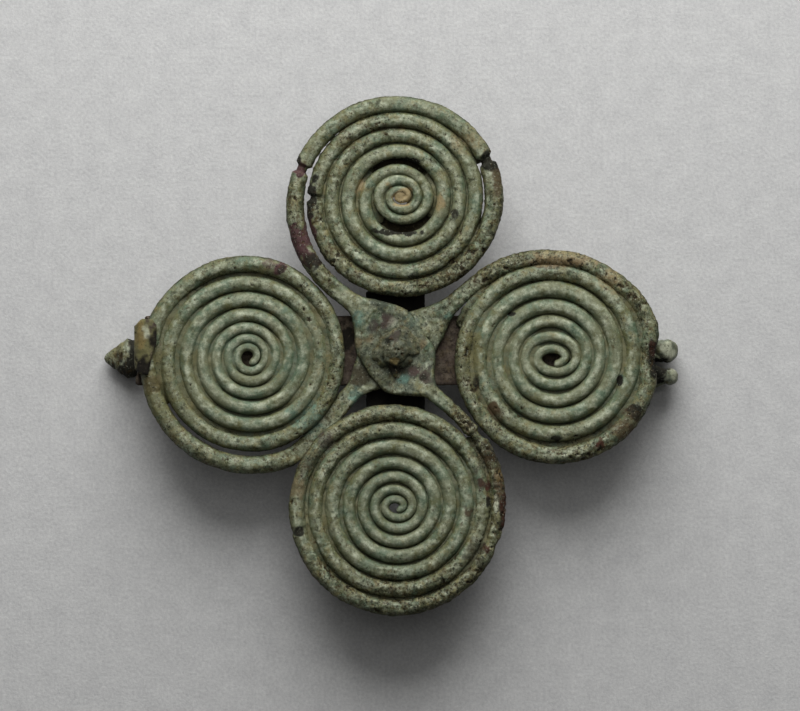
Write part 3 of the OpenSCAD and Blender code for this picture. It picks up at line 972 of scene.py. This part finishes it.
@dataclass(frozen=True)
class Rivet:
    """Rivet with a round head, a shank and a hammered foot, and a ragged collar."""

    stock: Stock
    head: Rows = ((0.0, 13.8), (0.8, 13.72), (1.4, 13.46), (1.85, 13.05), (2.1, 12.66), (2.08, 12.42),
                  (1.6, 12.37), (1.3, 12.33), (1.3, 7.2), (2.4, 7.14), (2.58, 6.85), (2.4, 6.6), (1.2, 6.56),
                  (0.0, 6.56))
    collar: Rows = ((1.5, 11.62), (2.8, 11.62), (3.15, 11.68), (3.1, 11.8), (2.7, 12.1), (2.2, 12.26),
                    (1.6, 12.28), (1.42, 12.2), (1.42, 11.75), (1.5, 11.62))
    sides: int = 96
    lean: float = 0.1
    decay: float = 0.8
    stains: Stains = marks(
        (0.7, 0.5, 5, SAGE, 0.45), (-0.4, 2.3, 0.7, PITCH, 0.8), (0.9, 3, 1, CUPRITE, 0.4),
        # The last, in PITCH, is the shadow under the head, painted
        (0.7, -1, 0.9, GOLD, 0.6), (1.2, -2.2, 2.2, PITCH, 1, 0.45))

    def turned(self, rows: Rows, steps: int, relief: Relief, ragged: float) -> Skin:
        """Turns a profile about the rivet's axis.

        Value noise round the rim changes its radius, which grows towards +Y by the lean.

        Args:
            rows: radius and height of the profile's points.
            steps: points along the profile.
            relief: corrosion.
            ragged: share by which the radius changes.

        Returns:
            The skin, with a ring for each step.
        """
        path = np.array(rows)
        at = distances(path)
        r, z = (np.interp(np.linspace(0, at[-1], steps), at, c) for c in path.T)
        a = np.linspace(0, 2 * np.pi, self.sides, endpoint=False)
        circle = np.column_stack([np.cos(a), np.sin(a), a * 0])
        rim = ragged * (haze(circle * 3, 1.6, 31) + 0.6 * haze(circle * 3, 0.7, 32)) + self.lean * np.sin(a)
        radius = r[:, None] * (1 + rim * smooth((r[:, None] - 1.4) / 1.2))
        points = (*HUB, 0) + radius[..., None] * circle + np.outer(z, UP)[:, None]
        dr, dz = np.gradient(r), np.gradient(z)
        size = np.maximum(np.hypot(dr, dz), 1e-6)
        facing = (-dz / size)[:, None, None] * circle + np.outer(dr / size, UP)[:, None]
        gone = np.full(radius.shape, self.decay)
        out, grime = relief.depth(points, gone)
        out = out * smooth(r / 0.6)[:, None]
        return Skin(points + facing * out[..., None], np.maximum(facing[..., 2], 0.55), grime, gone, gone * 0)

    def build(self) -> None:
        """Makes both pieces."""
        knob = self.turned(self.head, 130, Relief(swell=0.3, grain=0.16, seed=51), 0.2)
        make_piece("rivet_head", [knob], *self.stock, self.stains)
        ring = self.turned(self.collar, 60, Relief(swell=0.12, grain=0.12, seed=57), 0.26)
        make_piece("ragged_collar", [ring], "rivet_collar", *self.stock[1:], self.stains)


# The strip, the plate and the pin


@dataclass(frozen=True)
class BackStrip:
    """Hammered strip behind the discs, with eared corners, a fold over the left rim and a catch."""

    stock: Stock
    left: float = -37.5
    right: float = 39.0
    middle_y: float = 0.75
    width: float = 10.8
    ears: Pair = (2.1, 0.7)
    fold_y: Pair = (-3.0, 5.65)
    fold_r: float = 1.4
    fold_t: float = STRIP_T - 0.08
    fold_lead: float = 2.5
    fold_lip: float = 1.2
    catch_x: float = -34.55
    catch_l: float = 4.5
    catch_r: Pair = (0.7, 0.9)
    catch_turn: float = -0.75
    catch_lip: float = 3.2

    def plate(self) -> Skin:
        """Flat strip along X, whose left end is drawn out into an ear at each corner."""
        x = np.linspace(self.right, self.left, 260)
        skin = bar(track((x, self.middle_y, STRIP_Z + STRIP_T / 2)), STRIP_T, self.width, 40, 26, 61)
        y = skin.points[..., 1]
        ear = self.ears[0] * smooth((-2.6 - y) / 0.8) + self.ears[1] * smooth((y - 5.3) / 0.5)
        skin.points[..., 0] -= ear * smooth((self.right - x - 74) / 2.5)[:, None]
        return skin

    def fold(self) -> Skin:
        """Band that leaves the strip, bends up through a half circle and ends in a short lip."""
        r = self.fold_r + STRIP_T / 2
        low = STRIP_Z + STRIP_T / 2
        a = np.linspace(0, np.pi, 60)
        lead = np.linspace(self.fold_lead, 0, 16)[:-1]
        lip = np.linspace(0, self.fold_lip, 14)[1:]
        y = sum(self.fold_y) / 2
        place = track((self.left + lead, y, low), (self.left - r * np.sin(a), y, low + r * (1 - np.cos(a))),
                      (self.left + lip, y, low + 2 * r))
        wide = self.fold_y[1] - self.fold_y[0]
        skin = band(place, self.fold_t, wide, (0, 1, 0), 40, Relief(0.9, seed=67))
        # The lip's free edge runs back towards the fold's lower corner
        steps = distances(place)
        cut = 1.3 * smooth((2.4 - skin.points[..., 1]) / 5) * smooth((steps - steps[-1] + 1.6) / 1.5)[:, None]
        skin.points[..., 0] -= cut
        # Its corners are rounded, the upper two most
        x, y = skin.points[..., 0], skin.points[..., 1]
        drop = 0.9 * smooth((-38.1 - x) / 1.6) ** 2 + 0.9 * smooth((x + 37.4) / 1.2) ** 2
        lift = 0.7 * smooth((-38.3 - x) / 1.2) ** 2
        skin.points[..., 1] += lift * smooth((-1.0 - y) / 2) - drop * smooth((y - 3.2) / 2.4)
        return skin

    def catch(self) -> Skin:
        """Band down from the strip's edge, under the pin's tip as a flat foot, and up as a lip."""
        half = STRIP_T / 2
        x, turn, edge = self.catch_x, self.catch_turn, self.middle_y + self.width / 2 - half
        r1, r2 = self.catch_r[0] + half, self.catch_r[1] + half
        a = np.linspace(0, np.pi / 2, 16)
        down = np.linspace(STRIP_Z + half, half + r1, 20)[:-1]
        flat = np.linspace(edge - r1, turn, 24)[1:-1]
        up = np.linspace(half + r2, self.catch_lip, 10)[1:]
        place = track((x, edge, down), (x, edge - r1 + r1 * np.cos(a), half + r1 * (1 - np.sin(a))),
                      (x, flat, half), (x, turn - r2 * np.sin(a), half + r2 * (1 - np.cos(a))),
                      (x, turn - r2, up))
        return band(place, STRIP_T, self.catch_l, (1, 0, 0), 30, Relief(0.25, seed=73))

    def build(self) -> None:
        """Makes the strip, its fold and its catch."""
        # Painted shadows that the hub and the arms cast on the strip
        shade = marks((-6.8, 2.8, 2, PITCH, 0.8, 1.4), (7.5, 4.5, 2, PITCH, 0.6))
        make_piece("strip_plate", [self.plate()], *self.stock, shade)
        # The PALE spot is a painted highlight on the fold's bend, and the two PITCH patches are painted shade
        # on its right side and its lower part
        stains = marks(
            (-38.6, 1.6, 6, OLIVE, 0.7), (-38.7, 3, 1.1, GOLD, 0.65, 2.2), (-37.8, 3.8, 0.8, PALE, 0.9, 1.6),
            (-36.4, 1.9, 1.35, PITCH, 1, 3.2), (-38, -1.9, 2.3, PITCH, 1, 1.1))
        make_piece("strip_fold", [self.fold()], *self.stock, stains)
        make_piece("strip_catch", [self.catch()], *self.stock)


@dataclass(frozen=True)
class CrossPlate:
    """Short plate under the strip, across it."""

    stock: Stock
    width: float = 9.1
    length: float = 19.0
    thickness: float = 0.9

    def build(self) -> None:
        """Sweeps the plate along Y."""
        y = np.linspace(HUB[1] - self.length / 2, HUB[1] + self.length / 2, 110)
        place = track((HUB[0], y, STRIP_Z - SEAT - self.thickness / 2))
        skin = bar(place, self.thickness, self.width, 34, 22, 79)
        make_piece("cross_plate_old", [skin], *self.stock)


@dataclass(frozen=True)
class Pin:
    """Pin in one wire: a leg, a spring of one and a half turns, the needle and its corroded tip."""

    stock: Stock
    leg_x: float = 28.0
    spring_x: float = 40.6
    spring_y: float = 1.7
    spring_od: float = 8.05
    spring_pitch: float = 3.95
    spring_turns: float = 1.5
    spring_step: float = 0.08
    spring_d: float = 1.9
    knob: float = 1.75
    needle_d: float = 1.5
    tip_base: Spot = (-40.3, -0.45, 2.0)
    tip: tuple[Spot, ...] = (
        (-2.2, 1.5, 1.5), (-1.2, 1.6, 1.6), (-0.7, 5.6, 3.6), (0.7, 6.2, 3.9), (1.3, 5.2, 3.5),
        (1.7, 4.9, 3.2), (2.4, 3.6, 2.7), (2.8, 3.3, 2.4), (3.6, 2, 1.6), (4.3, 0.7, 0.6))

    def build(self) -> None:
        """Sweeps a round section along leg, spring, needle and tip."""
        r = (self.spring_od - self.spring_d) / 2
        t = np.linspace(0, self.spring_turns, 280)
        a = 2 * np.pi * t
        # The turns run square to the spring's axis at the left and right, and step along it above and below
        step = self.spring_pitch * (t + self.spring_step * np.sin(2 * a))
        coil_x, coil_z = self.spring_x + r * np.sin(a), self.spring_od / 2 + r * np.cos(a)
        coil = track((coil_x, self.spring_y - step, coil_z))
        x = np.linspace(self.leg_x, self.spring_x, 60)[:-1]
        leg = track((x, self.spring_y, self.spring_od - self.spring_d / 2))
        along, tip_tall, tip_wide = np.array(self.tip).T
        tip_x = np.linspace(along[0], along[-1], 90)
        tip = self.tip_base - np.outer(tip_x, (1, 0, 0))
        share = np.linspace(0, 1, 420)[1:-1]
        needle = coil[-1] + np.outer(share, tip[0] - coil[-1])
        taper = self.spring_d + (self.needle_d - self.spring_d) * smooth(2 * share)
        # The turns have swollen at the right to knobs that are round from above, by a circle's chords
        upper = t < 0.5
        core = np.where(upper, 1.0, 0.45) * (self.knob - self.spring_d / 2)
        ball = np.sqrt(np.clip(core ** 2 - (r * (1 - np.sin(a)) - core) ** 2, 0, None))
        ball = np.maximum(ball, np.where(upper, 0.4 * smooth((np.sin(a) - 0.1) / 0.3), 0.0))
        plain = np.full(len(leg) + len(coil), self.spring_d)
        knobs = self.spring_d + 2 * np.concatenate([x * 0, ball])
        tall = np.concatenate([knobs, taper, np.interp(tip_x, along, tip_tall)])
        wide = np.concatenate([plain, taper, np.interp(tip_x, along, tip_wide)])
        place = np.concatenate([leg, coil, needle, tip])
        closed = rounded_ends(distances(place), 0.7, 0.3)
        tall, wide = tall * closed, wide * closed
        decay = np.concatenate([np.full(len(plain) + len(taper), 0.4), np.linspace(0.6, 1.0, len(tip_x))])
        corner = np.minimum(tall, wide) / 2 * 0.96
        skin = sweep(place, tall, wide, corner, rim_shares(16, 16), Relief(seed=83), (0, 1, 0), decay)
        skin.crest = np.maximum(skin.crest, 0.6)
        # The PITCH on the tip's lower side and where it meets the fold, and the PITCH in the spring's hollow,
        # are painted shade
        stains = marks(
            (-42.8, 1, 1.8, OLIVE, 0.5), (-41, -2.4, 3.2, PITCH), (-39.9, 0.8, 1.3, PITCH, 0.95, 2.4),
            (43, 1, 1.5, PALE, 0.6), (43.8, -2.6, 1, PALE, 0.5, 1.4), (41.7, -2, 1.9, PITCH))
        make_piece("pin_wire", [skin], *self.stock, stains)


# The studio


@dataclass(frozen=True)
class Studio:
    """Pale surface, a large soft lamp from the picture's top, a weak one above, a dim room, a camera.

    A lamp has a name, its place in Y and Z and its size in metres, and its power in watts.
    """

    camera_x: float = 1.395
    focus_z: float = 10.0
    distance: float = 2500.0
    frame_width: float = 124.0
    sensor: float = 36.0
    lamps: tuple[tuple[str, float, float, float, float], ...] = (
        ("key", 0.37, 0.235, 0.44, 2.85), ("top", 0.12, 0.4, 0.3, 0.22))
    room: float = 0.055
    backdrop: float = 0.6
    floor_half: float = 3.0

    def surface(self) -> None:
        """Lays the floor: matt painted board, with a faint grain of 0.5 mm and clouds of 3 mm."""
        material = bpy.data.materials.new("painted_board")
        tree = cleared(material)
        at: Setting = {"Vector": add(tree, "TexCoord", output="Object")}
        grain = add(tree, "TexNoise", {"Scale": 1 / (0.5 * MM), "Detail": 4, "Roughness": 0.7}, at)
        clouds = add(tree, "TexNoise", {"Scale": 1 / (3 * MM), "Detail": 2}, at)
        both = add(tree, "Math", {"operation": "MULTIPLY_ADD", 1: 0.35}, {0: clouds, 2: grain})
        share = add(tree, "MapRange", {"From Min": 0.4, "From Max": 0.95}, {"Value": both})
        tones: Setting = {"data_type": "RGBA", 6: linear("#B8B8B8"), 7: linear("#D8D8D6")}
        mix = add(tree, "Mix", tones, {0: share}, 2)
        bump = add(tree, "Bump", {"Strength": 0.6, "Distance": 0.1 * MM}, {"Height": grain})
        shader = add(tree, "BsdfPrincipled", {"Roughness": 0.9, "Specular IOR Level": 0.2},
                     {"Base Color": mix, "Normal": bump})
        add(tree, "OutputMaterial", None, {"Surface": shader})
        mesh = bpy.data.meshes.new("surface")
        corners = self.floor_half * np.array([[-1, -1, 0], [1, -1, 0], [1, 1, 0], [-1, 1, 0]])
        mesh.from_pydata(corners.tolist(), [], [(0, 1, 2, 3)])
        mesh.materials.append(material)
        floor = put("surface", mesh)

    def lights(self) -> None:
        """Aims the lamps at the origin, and makes the room dim, but pale where the camera sees it."""
        for name, y, z, size, power in self.lamps:
            data = bpy.data.lights.new(name, "AREA")
            data.shape = "DISK"
            data.size = size
            data.energy = power
            lamp = put(name, data)
            lamp.location = (0.0, y, z)
            lamp.rotation_euler = (-math.atan2(y, z), 0.0, 0.0)
        world = bpy.data.worlds.new("room")
        bpy.context.scene.world = world
        tree = cleared(world)
        seen = add(tree, "LightPath", output="Is Camera Ray")
        strength = add(tree, "MapRange", {"To Min": self.room, "To Max": self.backdrop}, {"Value": seen})
        glow = add(tree, "Background", {"Color": (1.0, 1.0, 1.0, 1.0)}, {"Strength": strength})
        add(tree, "OutputWorld", None, {"Surface": glow})
        bpy.context.scene.view_settings.view_transform = "Standard"

    def camera(self) -> None:
        """Puts the camera straight above, far off, so that heights hardly shift what it sees."""
        data = bpy.data.cameras.new("overhead")
        data.sensor_width = self.sensor
        data.lens = self.sensor * self.distance / self.frame_width
        data.dof.use_dof = False
        data.clip_end = 10.0
        cam = put("overhead", data)
        cam.location = (self.camera_x * MM, 0.0, (self.focus_z + self.distance) * MM)
        bpy.context.scene.camera = cam


def main() -> None:
    """Builds the brooch from the surface up."""
    logging.basicConfig(level=logging.INFO, format="%(message)s")
    studio = Studio()
    studio.camera()
    studio.surface()
    studio.lights()
    wire = Patina("buried_bronze_wire")
    crust = replace(wire, name="earthy_corrosion_crust", body="#66674A", second="#566350", moss="#5E5936",
                    bloom_and_highlight="#95957A")
    strip = replace(wire, name="hammered_bronze_strip", body="#453A33", second="#332D29", moss="#3C3325",
                    bloom_and_highlight="#6C6151", earth="#50432C", oxide="#241C14", groove="#1C1812", roughness=0.7)
    # The plate is coloured near black as painted shade, for the deep shade it lies in between the discs
    plate = replace(wire, name="dark_bronze_plate", body="#100F0C", second="#0D0C09", moss="#0F0D09",
                    bloom_and_highlight="#1C1A15", earth="#1D1910", oxide="#080705", groove="#090806", roughness=0.75)
    knob = replace(wire, name="rubbed_bronze_rivet", body="#6C6C52", second="#5F6450", bloom_and_highlight="#A8A488",
                   earth="#665F44")
    thin = replace(wire, name="corroded_bronze_pin", body="#767D6B", second="#626C5C")
    Pin(("pin", "pin_bronze", thin.build())).build()
    CrossPlate(("cross_plate", "plate_bronze", plate.build())).build()
    BackStrip(("back_strip", "strip_bronze", strip.build())).build()
    bronze, filling = wire.build(), crust.build()
    lower = "spiral_wire_b", "lower_wire_bronze", bronze
    upper = "spiral_wire_a", "upper_wire_bronze", bronze
    CrossedWire(RIGHT, LEFT, LOWER_Z, 9.0, lower, filling, Relief(seed=13)).build()
    CrossedWire(TOP, BOTTOM, UPPER_Z, 10.4, upper, filling, Relief(seed=11)).build()
    Weld(upper).build()
    Rivet(("rivet", "rivet_bronze", knob.build())).build()


if __name__ == "__main__":
    main()
